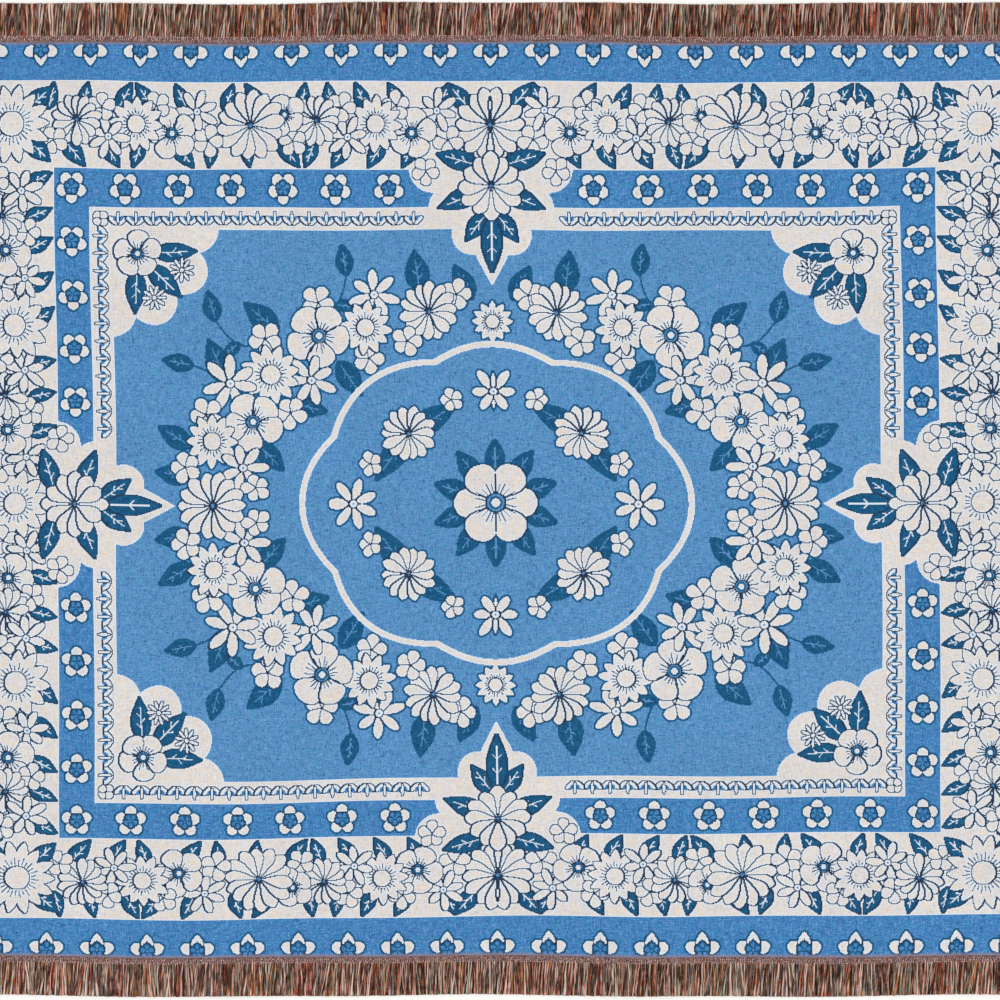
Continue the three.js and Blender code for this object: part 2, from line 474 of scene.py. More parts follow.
PENDANT_LOBES = (
    # beside the pendant's line, along it from the border, radius
    (0, 0, 66),
    (0, 48, 62),
    (82, -2, 34),
    (58, 52, 30),
    (27, 92, 29),
)
PENDANT_TIP = 164
PENDANT_LEAVES = (
    # beside the pendant's line, along it, length, width, lean from it
    (6, 60, 52, 24, 0.62),
    (14, 30, 66, 26, 1.2),
    (18, -4, 62, 26, 1.85),
)
PENDANT_REACH = 200


def pendant(inward):
    """A half medallion with lobed sides and a pointed tip."""

    def inside(across, up):
        along, beside = turned(across, up, inward)
        shapes = [np.hypot(np.abs(beside) - half, along - down) < r for half, down, r in PENDANT_LOBES]
        return np.any(shapes, axis=0) | petal(inward, 60, PENDANT_TIP, 60, 0.6, 1.0)(across, up)

    return inside


def chart_pendants(chart):
    chart.fill(0, GUARD_Y, PENDANT_REACH, pendant(-math.pi / 2), IVORY)
    chart.fill(GUARD_X, 0, PENDANT_REACH, pendant(math.pi), IVORY)


def pendant_flowers(chart, x, y, inward):
    """A daisy over a fan of leaves, with a small flower on each side."""

    def point(beside, along):
        return (
            x + along * math.cos(inward) - beside * math.sin(inward),
            y + along * math.sin(inward) + beside * math.cos(inward),
        )

    for side in (-1, 1):
        for beside, along, length, width, lean in PENDANT_LEAVES:
            leaf(chart, *point(side * beside, along), length, width, inward + side * lean, IVORY)
        small_flower(chart, *point(side * 92, 2), 19, inward, 22)
    leaf(chart, *point(0, 66), 80, 28, inward, IVORY)
    daisy(chart, *point(0, 24), 46, inward, 21, 12)


CORNER_RADIUS = 150
CORNER_X, CORNER_Y = 502, 352  # of the corner's blossom


def corner_pieces(chart):
    lobes = scalloped(CORNER_RADIUS, 12, 0.16)

    def inside(across, up):
        return lobes(across, up) & (across < 0) & (up < 0)

    chart.fill(FIELD_X, FIELD_Y, CORNER_RADIUS, inside, IVORY)


def corner_flowers(chart):
    """A blossom over three leaves, with an asterisk in each gap."""
    for angle, length in ((3.1, 62), (3.93, 64), (4.76, 62)):
        leaf(chart, *beyond(CORNER_X, CORNER_Y, angle, 22), length, length * 0.42, angle, IVORY)
    for angle in (3.5, 4.36):
        asterisk(chart, *beyond(CORNER_X, CORNER_Y, angle, 66), 17, angle)
    blossom(chart, CORNER_X, CORNER_Y, 34, 0.3, 8)


# The chart: the wreath and the medallion in the field

WREATH_X, WREATH_Y = 400.0, 282.0
WREATH = (
    # flower, degrees round the wreath, out from its line, radius
    ("sunflower", 90, -26, 29),
    ("small", 83, 14, 22),
    ("daisy", 77, -6, 42),
    ("small", 71, -40, 22),
    ("star", 67, 36, 36),
    ("small", 61, -46, 22),
    ("sunflower", 63, -4, 38),
    ("small", 56, 56, 24),
    ("blossom", 53, 14, 46),
    ("star", 46, -34, 36),
    ("small", 43, 52, 24),
    ("sunflower", 39, 8, 42),
    ("small", 36, -50, 23),
    ("star", 31, 40, 40),
    ("blossom", 27, -18, 42),
    ("small", 22, 44, 24),
    ("sunflower", 17, 20, 38),
    ("star", 13, -34, 36),
    ("small", 9, 46, 22),
    ("small", 7, -58, 20),
    ("daisy", 0, 2, 50),
)
WREATH_LEAVES = (
    # degrees, out, length, width, angle in degrees
    (86, 22, 52, 26, 62),
    (76, 40, 58, 30, 82),
    (54, -48, 58, 28, 236),
    (46, 66, 60, 30, 40),
    (38, -56, 52, 26, 196),
    (31, 64, 60, 30, 66),
    (22, -58, 50, 26, 226),
    (14, 62, 52, 26, 30),
    (7, 52, 50, 25, 8),
)
TENDRILS = (
    # degrees, out, angle in degrees, length, bend
    (53, 76, 128, 84, 14),
    (43, 80, 24, 84, -16),
    (27, 72, 48, 66, 12),
)


def wreath_point(degrees, out):
    """A place on the wreath's ellipse, or out from it."""
    turn = math.radians(degrees)
    normal_x = math.cos(turn) / WREATH_X
    normal_y = math.sin(turn) / WREATH_Y
    size = math.hypot(normal_x, normal_y)
    x = WREATH_X * math.cos(turn) + out * normal_x / size
    y = WREATH_Y * math.sin(turn) + out * normal_y / size
    return x, y


def tendril(chart, x, y, angle, length, bend):
    """A thin bent stem, with a leaf at its end and a smaller one beside it."""
    leaf(chart, *beyond(x, y, angle, length), 42, 21, angle - bend / 18, BLUE)
    side_x = x + 0.5 * length * math.cos(angle) - bend * math.sin(angle)
    side_y = y + 0.5 * length * math.sin(angle) + bend * math.cos(angle)
    leaf(chart, side_x, side_y, 26, 13, angle + math.copysign(1.1, bend), BLUE)
    chart.fill(x, y, length * 1.2, stroke(angle, 0, length, bend, STEM), LEAF)


def chart_wreath(chart):
    for degrees, out, angle, length, bend in TENDRILS:
        tendril(chart, *wreath_point(degrees, out - 40), math.radians(angle), length, bend)
    for degrees, out, length, width, angle in WREATH_LEAVES:
        x, y = wreath_point(degrees, out - math.copysign(16, out))
        leaf(chart, x, y, length, width, math.radians(angle), BLUE)
    for seed, (flower, degrees, out, radius) in enumerate(WREATH, 40):
        turn = math.radians(90) if degrees == 90 else seed * 1.3 if degrees else 0.0
        FLOWERS[flower](chart, *wreath_point(degrees, out), radius, turn, seed)


MEDALLION_X, MEDALLION_Y = 264.0, 217.0
MEDALLION_LINE = 9.0
MEDALLION_REACH = 320


def medallion_line(across, up):
    """A lobed oval line."""
    angle = np.arctan2(up, across)
    reach = MEDALLION_X * MEDALLION_Y / np.hypot(MEDALLION_Y * np.cos(angle), MEDALLION_X * np.sin(angle))
    reach *= 0.965 + 0.07 * np.abs(np.cos(4 * angle))
    return np.abs(np.hypot(across, up) - reach) < MEDALLION_LINE / 2


RING_DAISY = 122, 98  # the daisy's place in the ring, with a leaf on each side
MEDALLION_RING = (
    # flower, across, up, radius
    ("star", 0, 158, 35),
    ("small", 60, 146, 17),
    ("daisy", *RING_DAISY, 39),
    ("small", 176, 56, 17),
    ("star", 200, 0, 35),
)


def chart_medallion(chart):
    """A ring of flowers round a blossom with six petals, which stands in a wheel of leaves."""
    chart.fill(0, 0, MEDALLION_REACH, medallion_line, IVORY)
    for angle in (0.32, 0.94, math.pi / 2):
        leaf(chart, *beyond(0, 0, angle, 40), 50, 25, angle, BLUE)
    for angle in (-0.95, 2.6):
        leaf(chart, *RING_DAISY, 80, 30, angle, BLUE)
    for seed, (flower, across, up, radius) in enumerate(MEDALLION_RING, 70):
        FLOWERS[flower](chart, across, up, radius, 0.0, seed)
    blossom(chart, 0, 0, 62, 0.0, 2, 6)


def full_chart():
    """The whole cloth's cells, from its near left corner, mirrored from the quarter."""
    chart = Chart()
    chart_bands(chart)
    corner_pieces(chart)
    chart_pendants(chart)
    chart_outer_band(chart)
    chart_guard(chart)
    chart_chain(chart)
    chart_border(chart)
    pendant_flowers(chart, 0, GUARD_Y, -math.pi / 2)
    pendant_flowers(chart, GUARD_X, 0, math.pi)
    corner_flowers(chart)
    chart_wreath(chart)
    chart_medallion(chart)
    quarter = chart.cells[OVERDRAW:, OVERDRAW:]
    far = np.hstack([quarter[:, ::-1], quarter])
    return np.vstack([far[::-1], far])


def light_rims(cells):
    """Where ivory borders another yarn: there it floats over fewer ties and looks lighter."""
    return (cells == IVORY) & grown(cells != IVORY)


def packed_blocks(cells, bits):
    """The cells as three whole numbers for each block of them, two rows in each number."""
    rows = cells.shape[0] // BLOCK_CELLS
    columns = cells.shape[1] // BLOCK_CELLS
    blocks = cells.reshape(rows, BLOCK_CELLS, columns, BLOCK_CELLS).transpose(0, 2, 1, 3)
    words = blocks.reshape(rows, columns, 3, 2 * BLOCK_CELLS).astype(np.int64)
    weights = 1 << (bits * np.arange(2 * BLOCK_CELLS))
    return (words * weights).sum(axis=3)


# The cloth as it lies

def bell(distance, half_width):
    share = np.minimum(np.abs(distance) / half_width, 1)
    return np.cos(share * math.pi / 2) ** 2


def lift_at(x, y):
    """How high the underside lies over the surface, in millimetres."""
    lift = np.zeros_like(x, dtype=float)
    for ridge_x, ridge_y, crest_degrees, half_length, half_width, height in RIDGES:
        crest = math.radians(crest_degrees)
        along = (x - ridge_x) * math.cos(crest) + (y - ridge_y) * math.sin(crest)
        beside = (y - ridge_y) * math.cos(crest) - (x - ridge_x) * math.sin(crest)
        lift += height * bell(along, half_length) * bell(beside, half_width)
    return lift


def lay_points(x, y):
    """Where points of the drawn blanket lie once the cloth has strayed."""
    laid = {"x": x.astype(float), "y": y.astype(float)}
    for axis, reach, wave, along_x, along_y, phase in STRAYS:
        run = (x * along_x + y * along_y) / wave
        laid[axis] = laid[axis] + reach * np.sin(2 * math.pi * run + phase)
    return laid["x"], laid["y"]


SLIPS = (
    # up the cloth, and slip up it there: everywhere, towards the right, and in the middle
    (-642, 0, 0, 0),
    (-589, 3.6, 2.8, 0),
    (-470, -2.0, 4.6, 0),
    (-419, -3.1, 4.6, 0),
    (-386, -5.4, 4.4, 0),
    (0, -6.2, 1.0, 0),
    (386, -6.6, 0, -1.2),
    (419, -8.2, 0, -1.4),
    (470, -5.6, 0, -1.4),
    (589, -3.0, -0.7, -0.5),
    (642, 0, 0, 0),
)
SLIP_LEFT = 1.0
SLIP_SHEAR = 4.6  # to the left in the far half, and to the right in the near half
SLIP_MIDDLE = 5.0  # to the left in the middle
SHEAR_X, SHEAR_Y = 1000, 900  # half a wave of the slip up the cloth along X, and of the shear along Y
SAG_REACH, MIDDLE_REACH = 650, 500  # how far from the middle the slips there reach along X


def slipped(x, y):
    """Where the drawn bands lie in the cloth, which isn't beaten evenly. Its own edges stay."""
    places, everywhere, rightward, middle = np.array(SLIPS, float).T
    up = np.interp(y, places, everywhere)
    up += np.interp(y, places, rightward) * np.sin(math.pi * x / SHEAR_X)
    up += np.interp(y, places, middle) * (2 * bell(x, SAG_REACH) - 1)
    left = SLIP_LEFT + SLIP_SHEAR * np.sin(math.pi * y / SHEAR_Y)
    left += SLIP_MIDDLE * bell(x, MIDDLE_REACH)
    return x - left * (1 - (x / HALF_WIDTH) ** 6), y + up


CRINKLE_WAVES = 14
CRINKLE_HEIGHT = 0.16  # of all the small waves in the cloth together, in millimetres


def crinkle_at(x, y):
    """Small waves all over the cloth, in millimetres."""
    rng = np.random.default_rng(8)
    height = np.zeros_like(x, dtype=float)
    for wave in rng.uniform(26, 90, CRINKLE_WAVES):
        direction = rng.uniform(0, math.pi)
        phase = rng.uniform(0, 2 * math.pi)
        run = (x * math.cos(direction) + y * math.sin(direction)) / wave
        height += np.sin(2 * math.pi * run + phase)
    return CRINKLE_HEIGHT * (1 + height / CRINKLE_WAVES)


def laid_place(x, y, height):
    """Points in metres for drawn x, y and a height over the underside, all in millimetres."""
    laid_x, laid_y = lay_points(x, y)
    z = lift_at(laid_x, laid_y) + height
    return np.stack([laid_x, laid_y, z], axis=-1) * MM


def middle_shift():
    """How far the drawn cloth's laid middle is from the solid's."""
    low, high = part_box("cloth")
    edge_x = np.linspace(-HALF_WIDTH, HALF_WIDTH, 400)
    edge_y = np.linspace(-HALF_DEPTH, HALF_DEPTH, 400)
    x, y = lay_points(*np.meshgrid(edge_x, edge_y))
    return np.array([
        (low.x + high.x) / 2 - (x.min() + x.max()) / 2 * MM,
        (low.y + high.y) / 2 - (y.min() + y.max()) / 2 * MM,
        0,
    ])


SHIFT = middle_shift()


def piece_of(name, mesh, *materials):
    piece = bpy.data.objects.new(name, mesh)
    bpy.context.scene.collection.objects.link(piece)
    for material in materials:
        mesh.materials.append(material)
    return piece


# The cloth's mesh

def top_height(x):
    """How thick the cloth is: more in its turned side hems, and a little less at their edge."""
    to_edge = HALF_WIDTH - np.abs(x)
    hem = np.clip((HEM_WIDTH + 3 - to_edge) / 6, 0, 1)
    return CLOTH_THICKNESS + HEM_RISE * hem - 0.5 * (to_edge < 1)


def sheet_points(x, y):
    """The laid points of the sheet's top, then those of its underside."""
    crinkle = crinkle_at(x, y)
    top = laid_place(*slipped(x, y), crinkle + top_height(x)).reshape(-1, 3)
    under = laid_place(*slipped(x, y), crinkle - CRINKLE_HEIGHT * 0.5).reshape(-1, 3)
    under[:, 2] = np.maximum(under[:, 2], 0)
    return np.concatenate([top, under]) + SHIFT


def outline_loop(grid):
    """The grid's outer points in order, anticlockwise from above."""
    return np.concatenate([grid[0, :-1], grid[:-1, -1], grid[-1, :0:-1], grid[:0:-1, 0]])


def sheet_faces(grid):
    """The faces of the sheet's top, underside and narrow sides, in this order. grid numbers the points."""
    corners = [grid[:-1, :-1], grid[:-1, 1:], grid[1:, 1:], grid[1:, :-1]]
    top = np.stack(corners, axis=-1).reshape(-1, 4)
    under = top[:, ::-1] + grid.size
    loop = outline_loop(grid)
    after = np.roll(loop, -1)
    sides = np.stack([loop, loop + grid.size, after + grid.size, after], axis=-1)
    return np.concatenate([top, under, sides])


def cloth_mesh():
    """A closed sheet whose faces each hold a block of the chart, on its top and its underside."""
    chart = full_chart()
    charted = {
        "chart": packed_blocks(chart, YARN_BITS),
        "rims": packed_blocks(light_rims(chart), RIM_BITS),
    }
    block_rows, block_columns = charted["chart"].shape[:2]
    blocks = block_rows * block_columns
    line_x = np.linspace(-HALF_WIDTH, HALF_WIDTH, block_columns + 1)
    line_y = np.linspace(-HALF_DEPTH, HALF_DEPTH, block_rows + 1)
    x, y = np.meshgrid(line_x, line_y)
    faces = sheet_faces(np.arange(x.size).reshape(x.shape))
    mesh = bpy.data.meshes.new("woven_cloth")
    mesh.from_pydata(sheet_points(x, y).tolist(), [], faces.tolist())

    drawn = np.stack([x, y], axis=-1).reshape(-1, 2) * MM
    drawn = np.concatenate([drawn, drawn])[faces.reshape(-1)]
    mesh.uv_layers.new(name="drawn").data.foreach_set("uv", drawn.astype(np.float32).reshape(-1))
    for name, words in charted.items():
        face_words = np.zeros((len(faces), 3), np.float32)
        face_words[:2 * blocks] = np.tile(words.reshape(-1, 3), (2, 1))
        attribute = mesh.attributes.new(name, "FLOAT_VECTOR", "FACE")
        attribute.data.foreach_set("vector", face_words.reshape(-1))
    number = np.arange(len(faces))
    is_under = (number >= blocks) & (number < 2 * blocks)
    mesh.polygons.foreach_set("material_index", is_under.astype(np.int32))
    mesh.polygons.foreach_set("use_smooth", number < 2 * blocks)
    mesh.update()
    return mesh


# Nodes

class Wiring:
    """Adds nodes to a tree and wires them."""

    def __init__(self, tree):
        self.tree = tree

    def feed(self, socket, value):
        if isinstance(value, bpy.types.NodeSocket):
            self.tree.links.new(value, socket)
        else:
            socket.default_value = value

    def add(self, kind, inputs=None, **settings):
        node = self.tree.nodes.new(kind)
        for setting, value in settings.items():
            setattr(node, setting, value)
        for key, value in (inputs or {}).items():
            self.feed(node.inputs[key], value)
        return node

    def made(self, kind, inputs=None, **settings):
        """The first output of a node that is added so."""
        return self.add(kind, inputs, **settings).outputs[0]

    def math(self, operation, *values):
        node = self.add("ShaderNodeMath", operation=operation)
        for socket, value in zip(node.inputs, values):
            self.feed(socket, value)
        return node.outputs[0]

    def is_equal(self, first, second):
        return self.math("COMPARE", first, second, 0.1)

    def plus(self, first, second):
        return self.math("ADD", first, second)

    def minus(self, first, second):
        return self.math("SUBTRACT", first, second)

    def times(self, first, second):
        return self.math("MULTIPLY", first, second)

    def times_plus(self, first, second, added):
        return self.math("MULTIPLY_ADD", first, second, added)

    def mix(self, factor, first, second):
        """A colour between two others. The sockets are Factor, A and B of the node's colour form."""
        node = self.add("ShaderNodeMix", data_type="RGBA")
        for index, value in ((0, factor), (6, first), (7, second)):
            self.feed(node.inputs[index], value)
        return node.outputs[2]

    def joined(self, x, y, z=0.0):
        return self.made("ShaderNodeCombineXYZ", {0: x, 1: y, 2: z})

    def noise(self, vector, scale, detail=2.0, dimensions="2D"):
        inputs = {"Vector": vector, "Scale": scale, "Detail": detail}
        return self.add("ShaderNodeTexNoise", inputs, noise_dimensions=dimensions).outputs["Fac"]

    def attribute(self, name, output="Fac"):
        return self.add("ShaderNodeAttribute", attribute_name=name).outputs[output]

    def ranged(self, value, low, high, to_low=0.0, to_high=1.0):
        inputs = {"Value": value, "From Min": low, "From Max": high, "To Min": to_low, "To Max": to_high}
        return self.made("ShaderNodeMapRange", inputs)


def tint(red, green, blue):
    """A colour given as a screen shows it, from 0 to 255, in the form that a node takes."""

    def linear(value):
        value /= 255
        return value / 12.92 if value < 0.04045 else ((value + 0.055) / 1.055) ** 2.4

    return (linear(red), linear(green), linear(blue), 1.0)


def fabric_material(name, roughness, sheen):
    """A matt fabric and the wiring of its nodes. The colour and the relief are wired by the caller."""
    material = bpy.data.materials.new(name)
    material.use_nodes = True
    material.node_tree.nodes.clear()
    wiring = Wiring(material.node_tree)
    shader = wiring.add("ShaderNodeBsdfPrincipled", {
        "Roughness": roughness,
        "Specular IOR Level": 0.15,
        "Sheen Weight": sheen,
        "Sheen Roughness": 0.6,
    })
    wiring.add("ShaderNodeOutputMaterial", {"Surface": shader.outputs[0]})
    return material, wiring, shader


def dress(wiring, shader, colour, relief, strength, distance):
    """Wires a fabric's colour, and its relief of that depth in metres."""
    wiring.feed(shader.inputs["Base Color"], colour)
    bump = wiring.made("ShaderNodeBump", {"Height": relief, "Strength": strength, "Distance": distance})
    wiring.feed(shader.inputs["Normal"], bump)


# The cloth's finish

# Colours of the yarns, as the screen shows them: the usual one, the darkest and the lightest.
FIELD_BLUE_YARN = tint(90, 147, 199)
BAND_BLUE_YARN = tint(64, 129, 190)
DARK_BLUE_YARN = tint(30, 84, 140)
LIGHT_BLUE_YARN = tint(122, 172, 216)
BLUE_TINTS = tint(84, 136, 202), tint(58, 150, 188)
IVORY_TINTS = tint(240, 216, 194), tint(222, 216, 226)
IVORY_RIM = tint(222, 234, 246)
# Painted shade: a grey that soft large patches of the cloth darken towards, as where it lies a little
# unevenly.
PAINTED_CLOUD_SHADE = tint(60, 60, 72)
BOUND_OFF_SHADE = tint(166, 138, 142)
BOUND_OFF = 4.5  # millimetres at the headings in which the warp of many colours shows in the cloth
TIED_ABOVE = 0.87  # of the cells' random numbers: those cells are tied down by a dark thread
TIE_DEPTH = 0.65  # how dark a tie is in the bands
TIE_DEPTH_IN_FIELD = 0.45
CLOUD_SCALE = 9.0
IVORY_YARN = tint(222, 219, 215), tint(192, 188, 188), tint(242, 238, 230)
LEAF_YARN = tint(8, 84, 128), tint(2, 58, 98), tint(40, 116, 154)
LINE_YARN = tint(28, 52, 80), tint(12, 26, 48), tint(56, 82, 112)


def charted_number(wiring, attribute, bits, across, up):
    """The number in the cell at those whole-number coordinates, read from its face's block."""
    words = wiring.add("ShaderNodeSeparateXYZ", {0: wiring.attribute(attribute, "Vector")}).outputs
    in_block_x = wiring.math("MODULO", across, BLOCK_CELLS)
    in_block_y = wiring.math("MODULO", up, BLOCK_CELLS)
    pair = wiring.math("FLOOR", wiring.math("DIVIDE", in_block_y, 2))
    word = 0.0
    for index in range(3):
        word = wiring.times_plus(words[index], wiring.is_equal(pair, index), word)
    second_row = wiring.math("MODULO", in_block_y, 2)
    place = wiring.times_plus(second_row, BLOCK_CELLS, in_block_x)
    scale = wiring.math("POWER", 0.5**bits, place)
    return wiring.math("MODULO", wiring.math("FLOOR", wiring.times(word, scale)), 2**bits)


def varied(wiring, yarn, dark, light):
    """A yarn's colour: its usual one, darker or lighter by the two factors."""
    usual, darkest, lightest = yarn
    return wiring.mix(light, wiring.mix(dark, usual, darkest), lightest)


def stray_tint(wiring, place, scale, colour, first, second, reach):
    """The colour with soft patches of two tints, from high and low parts of a noise."""
    patch = wiring.noise(place, scale, 1.0)
    colour = wiring.mix(wiring.ranged(patch, 0.5, 0.8, 0.0, reach), colour, first)
    return wiring.mix(wiring.ranged(patch, 0.5, 0.2, 0.0, reach), colour, second)


def tied_blue(wiring, u, v, dark, light, tie):
    """Blue yarn, one blue in the bands and one in the field, tied down by single dark threads."""
    in_field_x = wiring.math("LESS_THAN", wiring.math("ABSOLUTE", u), FIELD_X * MM)
    in_field_y = wiring.math("LESS_THAN", wiring.math("ABSOLUTE", v), FIELD_Y * MM)
    in_field = wiring.times(in_field_x, in_field_y)
    usual = wiring.mix(in_field, BAND_BLUE_YARN, FIELD_BLUE_YARN)
    blue = varied(wiring, (usual, DARK_BLUE_YARN, LIGHT_BLUE_YARN), dark, light)
    tie_depth = wiring.times_plus(in_field, TIE_DEPTH_IN_FIELD - TIE_DEPTH, TIE_DEPTH)
    tied = wiring.times(wiring.math("GREATER_THAN", tie, TIED_ABOVE), tie_depth)
    return wiring.mix(tied, blue, DARK_BLUE_YARN)


def bound_off(wiring, colour, v, tie):
    """The colour, with the warp of many colours showing in it beside the headings."""
    to_edge = wiring.math("ABSOLUTE", v)
    to_heading = wiring.ranged(to_edge, (HALF_DEPTH - BOUND_OFF) * MM, HALF_DEPTH * MM)
    bound = wiring.times(to_heading, wiring.ranged(tie, 0.0, 1.0, 0.6, 1.0))
    return wiring.mix(bound, colour, BOUND_OFF_SHADE)


def weave_material(name, shown):
    """The two-layer weave. shown names the yarn that each number in the chart stands for."""
    material, wiring, shader = fabric_material(name, 0.92, 0.08)
    drawn = wiring.made("ShaderNodeUVMap", uv_map="drawn")
    u, v, _ = wiring.add("ShaderNodeSeparateXYZ", {0: drawn}).outputs
    across = wiring.times_plus(u, 1 / (CELL_X * MM), HALF_COLUMNS)
    up = wiring.times_plus(v, 1 / (CELL_Y * MM), HALF_ROWS)
    column = wiring.math("FLOOR", across)
    row = wiring.math("FLOOR", up)
    place = wiring.joined(across, up)
    cell = wiring.joined(column, row)

    # How far each cell is lighter or darker than its yarn: specks, and streaks along both threads.
    speck = wiring.made("ShaderNodeTexWhiteNoise", {"Vector": cell}, noise_dimensions="2D")
    weft = wiring.noise(wiring.joined(wiring.times(across, 0.12), row), 0.9)
    warp = wiring.noise(wiring.joined(column, wiring.times(up, 0.12)), 0.9)
    streaks = wiring.plus(weft, warp)
    shade = wiring.times_plus(wiring.minus(speck, 0.5), 0.9, wiring.times_plus(streaks, 1.5, -1.5))
    dark = wiring.ranged(shade, -0.1, -0.9)
    light = wiring.ranged(shade, 0.1, 0.9)
    tie = wiring.made("ShaderNodeTexWhiteNoise", {"Vector": cell}, noise_dimensions="3D")

    blue = stray_tint(wiring, place, 0.15, tied_blue(wiring, u, v, dark, light, tie), *BLUE_TINTS, 0.45)
    ivory = stray_tint(wiring, place, 0.12, varied(wiring, IVORY_YARN, dark, light), *IVORY_TINTS, 0.6)
    rim = charted_number(wiring, "rims", RIM_BITS, column, row)
    colours = {
        "blue": blue,
        "ivory": wiring.mix(wiring.times(rim, 0.8), ivory, IVORY_RIM),
        "leaf": varied(wiring, LEAF_YARN, dark, light),
        "line": varied(wiring, LINE_YARN, dark, light),
    }
    yarn = charted_number(wiring, "chart", YARN_BITS, column, row)
    colour = colours[shown[0]]
    for number in range(1, 4):
        colour = wiring.mix(wiring.is_equal(yarn, number), colour, colours[shown[number]])
    # Painted shade: soft large patches up to 5% darker, as where the cloth lies a little unevenly.
    painted_shade_cloud = wiring.noise(drawn, CLOUD_SCALE)
    colour = wiring.mix(wiring.ranged(painted_shade_cloud, 0.3, 0.7, 0.0, 0.05), colour, PAINTED_CLOUD_SHADE)
    colour = bound_off(wiring, colour, v, tie)

    # Relief: rounded threads, and the same streaks.
    ribs = wiring.math("ABSOLUTE", wiring.math("SINE", wiring.times(up, math.pi)))
    grain = wiring.noise(place, 0.75, 2.0)
    relief = wiring.times_plus(ribs, 0.25, wiring.plus(grain, streaks))
    dress(wiring, shader, colour, relief, 0.5, 0.4 * MM)
    return material


# Yarns and stitches, with Geometry Nodes

def sized_tree(name, sizes):
    """A Geometry Nodes tree with a number for each of those sizes, its wiring, and the inputs' sockets."""
    tree = bpy.data.node_groups.new(name, "GeometryNodeTree")
    tree.interface.new_socket("Geometry", in_out="OUTPUT", socket_type="NodeSocketGeometry")
    for label in ("Strands", "Seed", "Row Width", "Row Place", "Row Height", "Depth", *sizes):
        kind = "NodeSocketInt" if label in ("Strands", "Seed") else "NodeSocketFloat"
        tree.interface.new_socket(label, in_out="INPUT", socket_type=kind)
    wiring = Wiring(tree)
    return tree, wiring, wiring.add("NodeGroupInput").outputs


def stored(wiring, geometry, name, value, kind="FLOAT"):
    inputs = {"Geometry": geometry, "Name": name, "Value": value}
    return wiring.made("GeometryNodeStoreNamedAttribute", inputs, data_type=kind, domain="POINT")


def named(wiring, name, kind="FLOAT"):
    return wiring.made("GeometryNodeInputNamedAttribute", {"Name": name}, data_type=kind)


def chance(wiring, low, high, seed, strand=None):
    """A number between low and high, its own for each point, or for each strand."""
    node = wiring.add("FunctionNodeRandomValue", {2: low, 3: high, "Seed": seed}, data_type="FLOAT")
    if strand is not None:
        wiring.feed(node.inputs["ID"], strand)
    return node.outputs[1]


def moved(wiring, geometry, aside, rise=0.0):
    offset = wiring.joined(aside, 0.0, rise)
    return wiring.made("GeometryNodeSetPosition", {"Geometry": geometry, "Offset": offset})


def strand_row(wiring, given):
    """A row of points for strands, along X at the row's place, each set a little out of line."""
    pitch = wiring.math("DIVIDE", given["Row Width"], given["Strands"])
    start = wiring.times(given["Row Width"], -0.5)
    start = wiring.times_plus(pitch, 0.5, start)
    row = wiring.made("GeometryNodeMeshLine", {
        "Count": given["Strands"],
        "Start Location": wiring.joined(start, given["Row Place"], given["Row Height"]),
        "Offset": wiring.joined(pitch, 0.0),
    })
    aside = wiring.times(pitch, chance(wiring, -0.28, 0.28, given["Seed"]))
    row = moved(wiring, row, aside)
    return stored(wiring, row, "strand", wiring.made("GeometryNodeInputIndex"), "INT")


def unit_strand(wiring, start, end, points, sides, radius=1.0):
    """A strand from start to end with a round section one wide, which knows how far along it is."""
    line = wiring.made("GeometryNodeCurvePrimitiveLine", {"Start": start, "End": end})
    line = wiring.made("GeometryNodeResampleCurve", {"Curve": line, "Count": points})
    along = wiring.made("GeometryNodeSplineParameter")
    line = stored(wiring, line, "along", along)
    circle = {"Resolution": sides, "Radius": 0.5}
    section = wiring.made("GeometryNodeCurvePrimitiveCircle", circle)
    inputs = {"Curve": line, "Profile Curve": section, "Scale": radius, "Fill Caps": True}
    return wiring.made("GeometryNodeCurveToMesh", inputs)


def placed_strands(wiring, row, strand, rotation, scale):
    inputs = {"Points": row, "Instance": strand, "Rotation": rotation, "Scale": scale}
    instances = wiring.made("GeometryNodeInstanceOnPoints", inputs)
    return wiring.made("GeometryNodeRealizeInstances", {0: instances})


def finished_tree(wiring, geometry, given, material):
    """Ends a tree: each strand's own shade, the row's depth, smooth faces and the material."""
    seed = wiring.plus(given["Seed"], 2)
    shade = chance(wiring, 0.0, 1.0, seed, named(wiring, "strand", "INT"))
    geometry = stored(wiring, geometry, "shade", shade)
    geometry = stored(wiring, geometry, "depth", given["Depth"])
    geometry = wiring.made("GeometryNodeSetShadeSmooth", {0: geometry})
    geometry = wiring.made("GeometryNodeSetMaterial", {"Geometry": geometry, "Material": material})
    wiring.add("NodeGroupOutput", {0: geometry})


SHARED_LEAN = 22.0  # how far neighbouring yarns lean together
SHARED_LEAN_SCALE = 40.0  # of that lean's noise, to the metre
SHARED_LEAN_MIDDLE = 0.42  # where the noise leans neither way


def cubed(wiring, value):
    return wiring.times(value, wiring.times(value, value))


def position_x(wiring):
    return wiring.made("ShaderNodeSeparateXYZ", {0: wiring.made("GeometryNodeInputPosition")})


